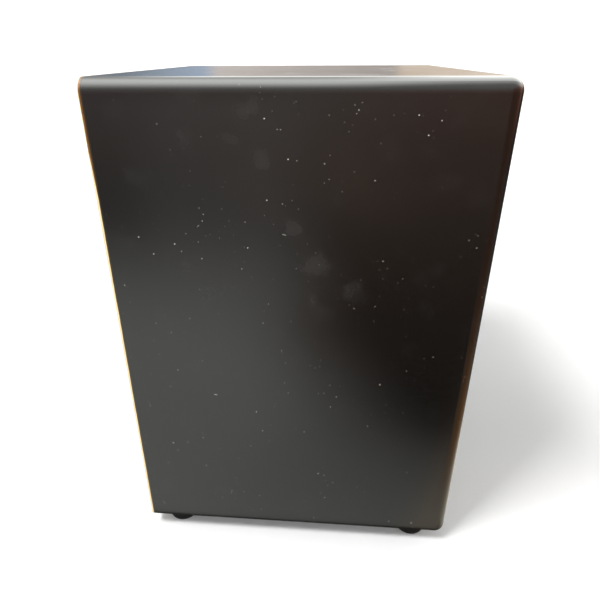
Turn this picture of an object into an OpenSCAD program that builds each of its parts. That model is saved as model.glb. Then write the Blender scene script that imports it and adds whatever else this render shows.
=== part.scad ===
// Cajon: a box drum with a thin playing face (the tapa), a sound hole in the back
// and a swinging snare frame behind the tapa.
//
// Frame: +Z up, the tapa faces -Y, the sound hole faces +Y.
// Origin: on the floor, under the middle of the box.
// All lengths are in millimetres.

/* [Body] */
// Width across the two side panels
body_w = 310; // [290:1:340]
// Depth from the face of the tapa to the back rim
body_d = 300; // [270:1:330]
// Height of the box without its feet
body_h = 428; // [380:1:480]
// Thickness of the side, top and bottom panels
wall = 14; // [13:1:18]
// Radius of every outer edge except those around the tapa
edge_r = 10; // [6:0.5:10]
// Leg of the triangular glue blocks in the four long corners
glue_leg = 22; // [16:1:28]

/* [Playing face] */
// Thickness of the tapa
tapa_t = 3; // [2.5:0.1:4]
// Number of screws along the top edge, and along the bottom edge
screws_across = 4; // [2:1:6]
// Number of screws up each side
screws_up = 6; // [4:1:8]
// Diameter of a tapa screw's head
head_d = 7; // [6:0.1:8]
// Shank diameter of the screws in the tapa, the pivot blocks and the feet
shank_d = 3.5; // [3:0.1:4]
// Length of a tapa screw
tapa_screw_l = 20; // [16:1:30]

/* [Back] */
// Thickness of the back panel
back_t = 5; // [4:0.5:6]
// Diameter of the sound hole
hole_d = 115; // [90:1:130]
// Height of the sound hole's centre above the floor
hole_z = 258; // [200:1:300]

/* [Feet] */
// Height of a rubber foot
foot_h = 12; // [10:1:20]
// Diameter of a foot where it meets the floor
foot_d = 32; // [26:1:38]
// Distance of a foot's centre from the side of the box
foot_inset_x = 23; // [22:1:40]
// Distance of a front foot's centre from the face of the tapa
foot_inset_front = 27; // [24:1:45]
// Distance of a back foot's centre from the back rim
foot_inset_back = 31; // [24:1:45]

/* [Snares] */
// Height of the snare beam's axis above the floor
beam_z = 300; // [240:1:320]
// Number of coiled wires in one snare
wires = 10; // [6:1:12]
// Distance between neighbouring wires
wire_pitch = 4.6; // [3.5:0.1:5]
// Outer diameter of a coiled wire
wire_d = 2.4; // [2:0.1:3]
// Length of a wire
wire_l = 108; // [80:1:110]
// Gap between the wires and the tapa when the snares are on
wire_gap = 0.4; // [0.3:0.1:1]
// Distance of a snare's middle from the middle of the beam
snare_x = 72; // [45:1:90]
// How far the lever reaches behind the beam
lever_l = 72; // [50:1:90]
// Diameter of the lever's ball knob
knob_d = 26; // [20:1:32]

/* [Hidden] */
$fn = 64;

// A small overlap that keeps cutting shapes clear of the faces they cut through
eps = 1;

// Radius of the hole around a screw's shank
pilot_r = shank_d / 2 + 0.05;

// Limits of the box
half_w = body_w / 2;
front_y = -body_d / 2;
panel_y = front_y + tapa_t;
back_y = body_d / 2;
floor_z = foot_h;
top_z = foot_h + body_h;
inner_w = half_w - wall;
inner_floor = floor_z + wall;
inner_top = top_z - wall;

// The back panel sits in a rebate, a little below the rim
rebate_w = wall - edge_r - 0.5;
back_recess = 1;
rebate_y = back_y - back_recess - back_t;

// The sound hole's outer edge is eased by this much
lip = 1;

// Tapa screws run along the middle of the panels' front edges
screw_in = wall / 2;
corner_in = 22;
across_in = 52;
across_span = body_w - 2 * across_in;

// Screws: radius of the point, and the cross recess's width and depth as shares of other sizes
tip_r = 0.3;
recess_width = 0.13;
recess_depth = 0.35;

// Glue blocks stop short of the tapa and the back panel, and have a small land along each edge
glue_gap = 6;
glue_land = 3;

// Feet
foot_flare = 0.75;
foot_round = 2;
foot_recess_d = 13;
foot_recess_h = 6;
washer_t = 1;
washer_d = 12;
washer_play = 0.4;
foot_head_d = 8;
foot_head_h = 2.6;
foot_screw_l = 18;

// Snare frame, in the side view: the beam's axis, and its faces at rest
plate_t = 1.2;
plate_h = 14;
plate_low = -3;
plate_side = 4;
plate_w = (wires - 1) * wire_pitch + 2 * plate_side;
wire_low = 6;
beam_t = 16;
beam_h = 22;
beam_front = panel_y + wire_gap + wire_d + plate_t;
beam_y = beam_front + beam_t / 2;
wire_y = panel_y + wire_gap + wire_d / 2;
plate_screw_z = 2;
plate_screw_in = 10;
plate_screw_x = plate_w / 2 - plate_screw_in;
plate_screw_d = 3;
plate_pilot_r = plate_screw_d / 2 + 0.05;
plate_head_d = 5.2;
plate_head_h = 1.8;
plate_screw_l = 10.5;
pilot_spare = 0.5;

// Pivots at the beam's two ends
block_t = 12;
block_y = 28;
block_h = 50;
block_gap = 1;
end_gap = 0.3;
thrust_t = 1.2;
thrust_d = 18;
beam_end = block_t + end_gap + thrust_t;
beam_half = inner_w - beam_end;
pin_r = 4;
pin_run = 0.06;
pin_in_beam = 20;
pin_in_block = 10.5;
block_screw_y = panel_y + block_gap + block_y / 2;
block_screw_z = 18;
block_screw_l = 20;
block_head_h = 2.2;

// Lever
lever_r = 3;
lever_in = 12;
nut_flats = 10;
nut_t = 5;
knob_bore = 12;
knob_flat = 1;

// Centres of the feet, as [x, y]; side is -1 for left and 1 for right
function front_foot(side) = [side * (half_w - foot_inset_x), front_y + foot_inset_front];
function back_foot(side) = [side * (half_w - foot_inset_x), back_y - foot_inset_back];
function foot_centres() = [for (side = [-1, 1]) each [front_foot(side), back_foot(side)]];

// Heights of the screws up a side, and places of the screws along the top or bottom
function side_screw_z() = [
    for (i = [0 : screws_up - 1])
        floor_z + corner_in + i * (body_h - 2 * corner_in) / (screws_up - 1)
];
function across_screw_x() = [
    for (i = [0 : screws_across - 1])
        -across_span / 2 + i * across_span / (screws_across - 1)
];
function side_screws(side) = [for (z = side_screw_z()) [side * (half_w - screw_in), z]];
function row_screws(z) = [for (x = across_screw_x()) [x, z]];
function all_tapa_screws() = concat(
    side_screws(-1), side_screws(1),
    row_screws(floor_z + screw_in), row_screws(top_z - screw_in)
);

// ---------------------------------------------------------------- helpers

// A rectangle with round corners, in the X-Z plane of the box, extruded along +Y from y
module upright_plate(y, depth, inset) {
    w = body_w - 2 * inset;
    h = body_h - 2 * inset;
    r = max(edge_r - inset, 0.5);
    translate([0, y + depth, floor_z + body_h / 2])
        rotate([90, 0, 0])
            linear_extrude(depth) {
                square([w - 2 * r, h], center = true);
                square([w, h - 2 * r], center = true);
                for (sx = [-1, 1], sz = [-1, 1])
                    translate([sx * (w / 2 - r), sz * (h / 2 - r)]) circle(r);
            }
}

// The outer shape of the box behind the tapa: round long edges, round back edges
module outer_block() {
    round_y = back_y - edge_r;
    cx = half_w - edge_r;
    cz = body_h / 2 - edge_r;
    upright_plate(panel_y, round_y - panel_y, 0);
    translate([0, round_y, floor_z + body_h / 2]) {
        translate([-cx, -eps, -cz]) cube([2 * cx, edge_r + eps, 2 * cz]);
        for (s = [-1, 1]) {
            translate([s * cx, 0, -cz]) cylinder(r = edge_r, h = 2 * cz);
            translate([-cx, 0, s * cz]) rotate([0, 90, 0]) cylinder(r = edge_r, h = 2 * cx);
        }
        for (sx = [-1, 1], sz = [-1, 1])
            translate([sx * cx, 0, sz * cz])
                rotate([0, -45 * sx * sz, 0]) rotate([0, 0, 90 + 90 * sx]) sphere(edge_r);
    }
}

// Pilot holes for the tapa screws, along +Y
module tapa_pilot_holes() {
    for (p = all_tapa_screws())
        translate([p[0], panel_y - eps, p[1]])
            rotate([-90, 0, 0]) cylinder(r = pilot_r, h = tapa_screw_l - tapa_t + eps);
}

// The rebate that takes the back panel
module back_rebate() {
    in = wall - rebate_w;
    translate([-half_w + in, rebate_y, floor_z + in])
        cube([body_w - 2 * in, back_y - rebate_y + eps, body_h - 2 * in]);
}

// One panel of the box: the outer shape inside a mitred outline in the X-Z plane
module mitred_panel(outline) {
    difference() {
        intersection() {
            outer_block();
            translate([0, back_y + eps, 0])
                rotate([90, 0, 0]) linear_extrude(body_d + 2 * eps) polygon(outline);
        }
        back_rebate();
        tapa_pilot_holes();
        foot_pilot_holes();
        pivot_pilot_holes();
    }
}

// Outline of a side panel, side -1 for left and 1 for right
function side_outline(side) = [
    [side * (half_w + eps), floor_z - eps], [side * (half_w + eps), top_z + eps],
    [side * inner_w, inner_top], [side * inner_w, inner_floor]
];

// Outline of the top or bottom panel, from its outer face at z_out to its inner face at z_in
function level_outline(z_out, z_in) = let (out = z_out + sign(z_out - z_in) * eps) [
    [-half_w - eps, out], [half_w + eps, out], [inner_w, z_in], [-inner_w, z_in]
];

// A pan head with a domed top and a cross recess, on a plain shank along -Z below z = 0
module pan_screw(d_head, h_head, d_shank, length) {
    difference() {
        union() {
            intersection() {
                cylinder(d = d_head, h = h_head);
                translate([0, 0, h_head - d_head]) sphere(d_head);
            }
            translate([0, 0, -length + d_shank / 2]) cylinder(d = d_shank, h = length - d_shank / 2);
            translate([0, 0, -length]) cylinder(r1 = tip_r, r2 = d_shank / 2, h = d_shank / 2);
        }
        cross_recess(d_head * 0.55, d_head * recess_width, h_head);
    }
}

// A cross recess, cut down from z = top
module cross_recess(reach, width, top) {
    for (a = [0, 90])
        rotate([0, 0, a])
            translate([-reach / 2, -width / 2, top - reach * recess_depth])
                cube([reach, width, reach]);
}

// ---------------------------------------------------------------- box

module side_panel_left() { color("#1d1b1a") mitred_panel(side_outline(-1)); }
module side_panel_right() { color("#1d1b1a") mitred_panel(side_outline(1)); }
module top_panel() { color("#1d1b1a") mitred_panel(level_outline(top_z, inner_top)); }
module bottom_panel() { color("#1d1b1a") mitred_panel(level_outline(floor_z, inner_floor)); }

module back_panel() {
    in = wall - rebate_w;
    color("#1d1b1a") difference() {
        translate([-half_w + in, rebate_y, floor_z + in])
            cube([body_w - 2 * in, back_t, body_h - 2 * in]);
        translate([0, rebate_y, hole_z]) rotate([-90, 0, 0]) {
            translate([0, 0, -eps]) cylinder(d = hole_d, h = back_t + 2 * eps, $fn = 128);
            translate([0, 0, back_t - lip])
                cylinder(d1 = hole_d, d2 = hole_d + 2 * (lip + eps), h = lip + eps, $fn = 128);
        }
    }
}

// A triangular glue block in a long corner; side is -1 or 1, up is 1 for the top corners
module glue_block(side, up) {
    corner = [side * inner_w, up > 0 ? inner_top : inner_floor];
    length = rebate_y - panel_y - 2 * glue_gap;
    color("#c9a877")
        translate([0, rebate_y - glue_gap, 0]) rotate([90, 0, 0]) linear_extrude(length)
            polygon([
                corner,
                corner - [side * glue_leg, 0],
                corner - [side * glue_leg, up * glue_land],
                corner - [side * glue_land, up * glue_leg],
                corner - [0, up * glue_leg]
            ]);
}

module glue_block_top_left() { glue_block(-1, 1); }
module glue_block_top_right() { glue_block(1, 1); }
module glue_block_bottom_left() { glue_block(-1, -1); }
module glue_block_bottom_right() { glue_block(1, -1); }

// ---------------------------------------------------------------- tapa

module tapa() {
    color("#c98f4a") difference() {
        upright_plate(front_y, tapa_t, 0);
        for (p = all_tapa_screws())
            translate([p[0], front_y, p[1]]) rotate([-90, 0, 0]) {
                translate([0, 0, -eps]) cylinder(r = pilot_r, h = tapa_t + 2 * eps);
                countersink();
            }
    }
}

// The cone under a countersunk head, from its mouth at z = 0
module countersink() {
    cylinder(d1 = head_d, d2 = shank_d, h = (head_d - shank_d) / 2);
}

// A countersunk screw with its head flush at z = 0 and its shank along +Z
module countersunk_screw() {
    difference() {
        union() {
            countersink();
            cylinder(d = shank_d, h = tapa_screw_l - shank_d);
            translate([0, 0, tapa_screw_l - shank_d])
                cylinder(r1 = shank_d / 2, r2 = tip_r, h = shank_d - 0.2);
        }
        mirror([0, 0, 1]) cross_recess(head_d * 0.6, head_d * recess_width, 0);
    }
}

module tapa_screw_group(places) {
    color("#151515")
        for (p = places)
            translate([p[0], front_y, p[1]]) rotate([-90, 0, 0]) countersunk_screw();
}

module tapa_screws_top() { tapa_screw_group(row_screws(top_z - screw_in)); }
module tapa_screws_bottom() { tapa_screw_group(row_screws(floor_z + screw_in)); }
module tapa_screws_left() { tapa_screw_group(side_screws(-1)); }
module tapa_screws_right() { tapa_screw_group(side_screws(1)); }

// ---------------------------------------------------------------- feet

// A rubber foot: wider at the box, round at the floor, with a recess for its screw
module foot(centre) {
    r = foot_d / 2;
    color("#0f0f0f")
        translate([centre[0], centre[1], 0]) difference() {
            rotate_extrude() {
                polygon([
                    [0, 0], [r - foot_round, 0], [r - foot_round, foot_round],
                    [r, foot_round], [r + foot_flare, foot_h], [0, foot_h]
                ]);
                translate([r - foot_round, foot_round]) intersection() {
                    circle(foot_round);
                    translate([0, -foot_round]) square(foot_round);
                }
            }
            translate([0, 0, -eps]) cylinder(d = foot_recess_d, h = foot_recess_h + eps);
            cylinder(r = pilot_r, h = foot_h + eps);
        }
}

module foot_front_left() { foot(front_foot(-1)); }
module foot_front_right() { foot(front_foot(1)); }
module foot_back_left() { foot(back_foot(-1)); }
module foot_back_right() { foot(back_foot(1)); }

module foot_washers() {
    color("#b9b9bb")
        for (p = foot_centres())
            translate([p[0], p[1], foot_recess_h - washer_t]) difference() {
                cylinder(d = washer_d, h = washer_t);
                translate([0, 0, -eps])
                    cylinder(r = pilot_r + washer_play, h = washer_t + 2 * eps);
            }
}

module foot_screws() {
    color("#b9b9bb")
        for (p = foot_centres())
            translate([p[0], p[1], foot_recess_h - washer_t]) rotate([180, 0, 0])
                pan_screw(foot_head_d, foot_head_h, shank_d, foot_screw_l);
}

module foot_pilot_holes() {
    for (p = foot_centres())
        translate([p[0], p[1], floor_z - eps])
            cylinder(r = pilot_r, h = foot_screw_l - (foot_h - foot_recess_h + washer_t) + eps);
}

// ---------------------------------------------------------------- snare frame

// Puts its children at the beam's axis, turned so that +Z points to the side panel
module at_beam_end(side) {
    translate([side * inner_w, beam_y, beam_z]) rotate([0, side * 90, 0]) children();
}

// A hardwood block on the side panel's inner face, bored for the pivot pin
module pivot_block(side) {
    front = panel_y + block_gap;
    color("#b98d56") difference() {
        translate([side * (inner_w - block_t / 2), front + block_y / 2, beam_z])
            cube([block_t, block_y, block_h], center = true);
        at_beam_end(side)
            translate([0, 0, -block_t - eps]) cylinder(r = pin_r + pin_run, h = block_t + 2 * eps);
        for (s = [-1, 1])
            translate([side * inner_w, block_screw_y, beam_z + s * block_screw_z])
                rotate([0, side * 90, 0])
                    translate([0, 0, -block_t - eps])
                        cylinder(r = pilot_r, h = block_t + 2 * eps);
    }
}

module pivot_block_left() { pivot_block(-1); }
module pivot_block_right() { pivot_block(1); }

// Blind pilot holes in the side panels for the pivot blocks' screws
module pivot_pilot_holes() {
    for (side = [-1, 1], s = [-1, 1])
        translate([side * inner_w, block_screw_y, beam_z + s * block_screw_z])
            rotate([0, side * 90, 0])
                translate([0, 0, -eps])
                    cylinder(r = pilot_r, h = block_screw_l - block_t + eps);
}

module pivot_block_screws() {
    color("#c9a24a")
        for (side = [-1, 1], s = [-1, 1])
            translate([side * (inner_w - block_t), block_screw_y, beam_z + s * block_screw_z])
                rotate([0, -side * 90, 0])
                    pan_screw(head_d, block_head_h, shank_d, block_screw_l);
}

// A washer on the beam's end, which keeps the wood of the beam off the block
module thrust_washer(side) {
    color("#d8d4c4")
        at_beam_end(side) translate([0, 0, -beam_end]) difference() {
            cylinder(d = thrust_d, h = thrust_t);
            translate([0, 0, -eps]) cylinder(r = pin_r, h = thrust_t + 2 * eps);
        }
}

module thrust_washer_left() { thrust_washer(-1); }
module thrust_washer_right() { thrust_washer(1); }

// A steel pin, pressed into the beam and free to turn in the block
module pivot_pin(side) {
    color("#c4c6ca")
        at_beam_end(side)
            translate([0, 0, -beam_end - pin_in_beam])
                cylinder(r = pin_r, h = pin_in_beam + beam_end - block_t + pin_in_block);
}

module pivot_pin_left() { pivot_pin(-1); }
module pivot_pin_right() { pivot_pin(1); }

module snare_beam() {
    color("#c79a5e") difference() {
        translate([0, beam_y, beam_z]) cube([2 * beam_half, beam_t, beam_h], center = true);
        for (side = [-1, 1])
            at_beam_end(side)
                translate([0, 0, -beam_end - pin_in_beam])
                    cylinder(r = pin_r, h = pin_in_beam + eps);
        translate([0, beam_y + beam_t / 2 - lever_in, beam_z])
            rotate([-90, 0, 0]) cylinder(r = lever_r, h = lever_in + eps);
        for (side = [-1, 1])
            at_plate_screws(side) translate([0, 0, -plate_screw_l - pilot_spare])
                cylinder(r = plate_pilot_r, h = plate_screw_l + pilot_spare + eps);
    }
}

// Puts its children at each screw of a snare plate, on its front face, with +Z towards the tapa
module at_plate_screws(side) {
    for (s = [-1, 1])
        translate([side * snare_x + s * plate_screw_x, beam_front - plate_t, beam_z + plate_screw_z])
            rotate([90, 0, 0]) children();
}

// The brass plate that a set of snare wires is soldered to
module snare_plate(side) {
    color("#b7894b") difference() {
        translate([side * snare_x - plate_w / 2, beam_front - plate_t, beam_z + plate_low])
            cube([plate_w, plate_t, plate_h]);
        at_plate_screws(side) translate([0, 0, -plate_t - eps])
            cylinder(r = plate_pilot_r, h = plate_t + 2 * eps);
    }
}

module snare_plate_left() { snare_plate(-1); }
module snare_plate_right() { snare_plate(1); }

// A fan of straight coiled wires, each drawn as the rod that its coil fills
module snare_wires(side) {
    color("#c9ccd1")
        for (i = [0 : wires - 1])
            translate([
                side * snare_x + (i - (wires - 1) / 2) * wire_pitch, wire_y, beam_z + wire_low
            ]) cylinder(d = wire_d, h = wire_l, $fn = 24);
}

module snare_wires_left() { snare_wires(-1); }
module snare_wires_right() { snare_wires(1); }

module snare_plate_screws() {
    color("#8f9296")
        for (side = [-1, 1])
            at_plate_screws(side)
                pan_screw(plate_head_d, plate_head_h, plate_screw_d, plate_screw_l);
}

// The lever is a steel rod that runs back from the beam towards the sound hole
module snare_lever() {
    color("#c4c6ca")
        translate([0, beam_y + beam_t / 2 - lever_in, beam_z])
            rotate([-90, 0, 0]) cylinder(r = lever_r, h = lever_in + lever_l);
}

module lever_nut() {
    color("#a9abad")
        translate([0, beam_y + beam_t / 2, beam_z]) rotate([-90, 0, 0]) difference() {
            cylinder(d = nut_flats / cos(30), h = nut_t, $fn = 6);
            translate([0, 0, -eps]) cylinder(r = lever_r, h = nut_t + 2 * eps);
        }
}

// A ball knob with a flat where the rod enters it
module lever_knob() {
    rod_end = beam_y + beam_t / 2 + lever_l;
    color("#161616")
        translate([0, rod_end - knob_bore, beam_z]) rotate([-90, 0, 0]) difference() {
            intersection() {
                translate([0, 0, knob_d / 2 - knob_flat]) sphere(knob_d / 2);
                cylinder(d = knob_d + eps, h = knob_d);
            }
            translate([0, 0, -eps]) cylinder(r = lever_r, h = knob_bore + eps);
        }
}

// ---------------------------------------------------------------- nodes

side_panel_left();
side_panel_right();
top_panel();
bottom_panel();
back_panel();
glue_block_top_left();
glue_block_top_right();
glue_block_bottom_left();
glue_block_bottom_right();
tapa();
tapa_screws_top();
tapa_screws_bottom();
tapa_screws_left();
tapa_screws_right();
foot_front_left();
foot_front_right();
foot_back_left();
foot_back_right();
foot_washers();
foot_screws();
pivot_block_left();
pivot_block_right();
pivot_block_screws();
thrust_washer_left();
thrust_washer_right();
pivot_pin_left();
pivot_pin_right();
snare_beam();
snare_plate_left();
snare_plate_right();
snare_wires_left();
snare_wires_right();
snare_plate_screws();
snare_lever();
lever_nut();
lever_knob();
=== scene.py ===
"""The looks of the cajon: its materials, the finer pieces that stand for plain CAD solids, and the set."""

import math
import random

import bmesh
import bpy
from mathutils import Matrix, Vector


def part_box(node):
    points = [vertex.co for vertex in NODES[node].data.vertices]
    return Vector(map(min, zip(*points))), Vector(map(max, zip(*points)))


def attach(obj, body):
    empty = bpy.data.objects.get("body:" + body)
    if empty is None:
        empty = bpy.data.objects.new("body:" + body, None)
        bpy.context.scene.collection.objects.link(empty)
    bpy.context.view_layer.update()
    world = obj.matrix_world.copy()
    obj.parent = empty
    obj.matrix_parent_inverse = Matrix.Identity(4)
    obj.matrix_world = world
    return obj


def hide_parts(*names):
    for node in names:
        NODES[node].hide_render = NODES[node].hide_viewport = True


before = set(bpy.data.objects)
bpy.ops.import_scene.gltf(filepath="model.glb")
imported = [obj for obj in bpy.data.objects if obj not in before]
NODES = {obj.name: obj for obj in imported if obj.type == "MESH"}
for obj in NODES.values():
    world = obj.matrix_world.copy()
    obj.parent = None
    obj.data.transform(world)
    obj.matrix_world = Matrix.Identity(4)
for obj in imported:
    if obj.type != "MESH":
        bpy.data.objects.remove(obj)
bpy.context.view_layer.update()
SHELL, ARM = "shell", "snare_arm"

MM = 0.001
TAU = 2 * math.pi
X, Y, Z = Vector((1, 0, 0)), Vector((0, 1, 0)), Vector((0, 0, 1))


# ---------------------------------------------------------------- sizes, all from the frame

def size(node):
    """A node's width, depth and height."""
    low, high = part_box(node)
    return high - low


WALL = size("top_panel").z
TAPA_T = size("tapa").y
FLOOR_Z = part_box("tapa")[0].z
TOP_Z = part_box("tapa")[1].z
MID_Z = (FLOOR_Z + TOP_Z) / 2
HALF_H = (TOP_Z - FLOOR_Z) / 2
HALF_W = size("tapa").x / 2
FRONT_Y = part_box("tapa")[0].y
BACK_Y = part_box("top_panel")[1].y


# ---------------------------------------------------------------- node trees

class Tree:
    """A material's node tree, with short ways to add and join nodes."""

    def __init__(self, name):
        self.mat = bpy.data.materials.new(name)
        self.mat.use_nodes = True
        self.nodes = self.mat.node_tree.nodes
        self.links = self.mat.node_tree.links
        self.shader = self.nodes["Principled BSDF"]
        self.place = self.add("ShaderNodeTexCoord").outputs["Object"]

    def add(self, kind, **settings):
        node = self.nodes.new(kind)
        for key, value in settings.items():
            setattr(node, key, value)
        return node

    def feed(self, socket, value):
        """Joins value to socket if it is another socket, and sets it if it is a number or a colour."""
        if isinstance(value, bpy.types.NodeSocket):
            self.links.new(value, socket)
        else:
            socket.default_value = value

    def math(self, operation, a, b=0.0, clamp=False):
        node = self.add("ShaderNodeMath", operation=operation, use_clamp=clamp)
        self.feed(node.inputs[0], a)
        self.feed(node.inputs[1], b)
        return node.outputs[0]

    def times(self, first, *others):
        """The product of two values or more."""
        for other in others:
            first = self.math("MULTIPLY", first, other)
        return first

    def plus(self, a, b, clamp=False):
        return self.math("ADD", a, b, clamp)

    def minus(self, a, b, clamp=False):
        return self.math("SUBTRACT", a, b, clamp)

    def gap(self, a, b):
        """How far apart a and b are."""
        return self.math("ABSOLUTE", self.minus(a, b))

    def vector(self, operation, a, b):
        node = self.add("ShaderNodeVectorMath", operation=operation)
        self.feed(node.inputs[0], a)
        self.feed(node.inputs[1], b)
        return node.outputs[0]

    def axes(self, vector=None):
        """The x, y and z of a vector, or of the place in the object's frame."""
        node = self.add("ShaderNodeSeparateXYZ")
        self.feed(node.inputs[0], vector or self.place)
        return node.outputs

    def reach(self):
        """The distance from the frame's origin."""
        node = self.add("ShaderNodeVectorMath", operation="LENGTH")
        self.feed(node.inputs[0], self.place)
        return node.outputs["Value"]

    def squeezed(self, along, by):
        """The place with one axis shrunk, so that a pattern is drawn out along that axis."""
        scale = [1.0, 1.0, 1.0]
        scale[along] = by
        return self.vector("MULTIPLY", self.place, tuple(scale))

    def bent(self, place, scale, by):
        """place pushed about by up to the distance by, so that a pattern on it wanders."""
        wander = self.add("ShaderNodeTexNoise")
        self.feed(wander.inputs["Vector"], place)
        wander.inputs["Scale"].default_value = scale
        wander.inputs["Detail"].default_value = 2.0
        return self.vector("ADD", place, self.vector("MULTIPLY", wander.outputs["Color"], (by, by, by)))

    def noise(self, scale, detail=3.0, place=None, roughness=0.5, distortion=0.0):
        node = self.add("ShaderNodeTexNoise")
        self.feed(node.inputs["Vector"], place or self.place)
        node.inputs["Scale"].default_value = scale
        node.inputs["Detail"].default_value = detail
        node.inputs["Roughness"].default_value = roughness
        node.inputs["Distortion"].default_value = distortion
        return node.outputs["Fac"]

    def cells(self, scale, feature="F1", place=None):
        """A random point in each cell of a grid: the distance to the nearest, and its own colour."""
        node = self.add("ShaderNodeTexVoronoi", feature=feature)
        self.feed(node.inputs["Vector"], place or self.place)
        node.inputs["Scale"].default_value = scale
        return node.outputs["Distance"], node.outputs["Color"]

    def span(self, value, low, high, to_low=0.0, to_high=1.0, smooth=False):
        """Maps value from low..high to to_low..to_high, held at the ends."""
        node = self.add("ShaderNodeMapRange", clamp=True)
        node.interpolation_type = "SMOOTHSTEP" if smooth else "LINEAR"
        self.feed(node.inputs["Value"], value)
        for name, number in (("From Min", low), ("From Max", high), ("To Min", to_low), ("To Max", to_high)):
            node.inputs[name].default_value = number
        return node.outputs["Result"]

    def window(self, value, low, low_end, high_end, high, smooth_end=False):
        """0 outside low..high, 1 between low_end and high_end. The start is smooth, and the end may be."""
        start = self.span(value, low, low_end, smooth=True)
        return self.times(start, self.span(value, high_end, high, 1.0, 0.0, smooth_end))

    def ramp(self, value, stops):
        node = self.add("ShaderNodeValToRGB")
        self.feed(node.inputs["Fac"], value)
        row = node.color_ramp.elements
        while len(row) < len(stops):
            row.new(1.0)
        for element, (at, colour) in zip(row, stops):
            element.position = at
            element.color = (*colour, 1)
        return node.outputs["Color"]

    def mix(self, fac, a, b, kind="RGBA"):
        node = self.add("ShaderNodeMix", data_type=kind)
        first, out = {"FLOAT": (2, 0), "VECTOR": (4, 1), "RGBA": (6, 2)}[kind]
        self.feed(node.inputs[0], fac)
        self.feed(node.inputs[first], as_socket_value(a, kind))
        self.feed(node.inputs[first + 1], as_socket_value(b, kind))
        return node.outputs[out]

    def bump(self, height, distance, strength=1.0, under=None):
        node = self.add("ShaderNodeBump")
        self.feed(node.inputs["Height"], height)
        node.inputs["Distance"].default_value = distance
        node.inputs["Strength"].default_value = strength
        if under is not None:
            self.feed(node.inputs["Normal"], under)
        return node.outputs["Normal"]

    def finish(self, colour, roughness, normal=None, **fixed):
        """Joins the shader's changing inputs, and sets the fixed ones on the shader itself."""
        self.feed(self.shader.inputs["Base Color"], as_socket_value(colour, "RGBA"))
        self.feed(self.shader.inputs["Roughness"], roughness)
        if normal is not None:
            self.feed(self.shader.inputs["Normal"], normal)
        for name, value in fixed.items():
            self.shader.inputs[name.replace("_", " ")].default_value = value
        return self.mat


def as_socket_value(value, kind):
    """A colour tuple gets its fourth number; anything else stays."""
    if kind == "RGBA" and isinstance(value, tuple) and len(value) == 3:
        return (*value, 1)
    return value


def grain_place(tree, along, stretch=0.08, twist=0.004):
    """Coordinates squeezed along the grain, and bent a little, for anything that follows wood fibres."""
    return tree.bent(tree.squeezed(along, stretch), 30.0, twist)


# ---------------------------------------------------------------- black lacquer

def inside_mask(tree):
    """1 on the faces that look into the box, 0 on its outside."""
    x, y, z = tree.axes()
    slack = 0.25 * MM
    within_x = tree.math("LESS_THAN", tree.math("ABSOLUTE", x), HALF_W - WALL + slack)
    within_z = tree.math("LESS_THAN", tree.gap(z, MID_Z), HALF_H - WALL + slack)
    within_y = tree.math("LESS_THAN", y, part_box("back_panel")[0].y + slack)
    return tree.times(within_x, within_z, within_y)


def finger_marks(tree):
    """Soft bent smudges, 8 to 15 mm across, here and there."""
    bent = tree.bent(tree.place, 45.0, 24 * MM)
    distance, _ = tree.cells(34, "SMOOTH_F1", bent)
    spots = tree.span(distance, 0.14, 0.34, 1.0, 0.0, smooth=True)
    ridges = tree.span(tree.noise(210, 3, bent, 0.6), 0.35, 0.65, 0.55, 1.0)
    return tree.times(spots, ridges)


def handling(tree):
    """Where hands have dulled the lacquer: smudges and haze high up, most of it near the playing face."""
    _, y, z = tree.axes()
    haze = tree.span(tree.noise(9, 3, roughness=0.55), 0.44, 0.70, smooth=True)
    marks = tree.times(finger_marks(tree), tree.plus(0.25, haze))
    marks = tree.plus(marks, tree.times(haze, 0.14), clamp=True)
    marks = tree.times(marks, tree.span(z, 0.10, 0.26, 0.25, 1.0))

    grip_y = -0.058
    held = tree.span(tree.gap(y, grip_y), 0.025, 0.085, 0.45, 0.0, smooth=True)
    held = tree.times(held, tree.span(z, 0.10, 0.30))
    held = tree.times(held, tree.span(z, TOP_Z - 20 * MM, TOP_Z - 5 * MM, 1.0, 0.0))
    return tree.plus(marks, held, clamp=True)


def specks(tree, scale, limit, place=None):
    """Dots of up to limit cells in radius. Most of them are faint and about a quarter are left out."""
    distance, colour = tree.cells(scale, "F1", place)
    chance = tree.add("ShaderNodeTexWhiteNoise", noise_dimensions="3D")
    tree.feed(chance.inputs["Vector"], colour)
    bright = tree.math("POWER", tree.span(chance.outputs["Value"], 0.28, 1.0), 3.6)
    return tree.times(tree.math("LESS_THAN", distance, limit), bright)


def dust_specks(tree):
    """Dust all over, thicker in places and thinner at the back and foot edges, with a few short fibres."""
    _, y, z = tree.axes()
    crowd = tree.noise(13, 3, roughness=0.6)
    coarse = specks(tree, 150, tree.span(crowd, 0.36, 0.60, 0.034, 0.076))
    fine = specks(tree, 260, tree.span(crowd, 0.38, 0.64, 0.02, 0.115))
    tilt = tree.add("ShaderNodeVectorRotate", rotation_type="EULER_XYZ")
    tree.feed(tilt.inputs["Vector"], tree.place)
    tilt.inputs["Rotation"].default_value = (0.5, 0.9, 0.3)
    drawn_out = tree.vector("MULTIPLY", tilt.outputs[0], (1.0, 0.16, 1.0))
    fibre = specks(tree, 60, 0.024, drawn_out)
    dust = tree.math("MAXIMUM", coarse, tree.times(fine, 0.36))
    dust = tree.math("MAXIMUM", dust, tree.times(fibre, 0.6))
    off_back = tree.span(y, BACK_Y - 4 * MM, BACK_Y, 1.0, 0.35)
    off_base = tree.span(z, FLOOR_Z, FLOOR_Z + 5 * MM, 0.25, 1.0)
    return tree.times(dust, tree.times(off_back, off_base))


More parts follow.
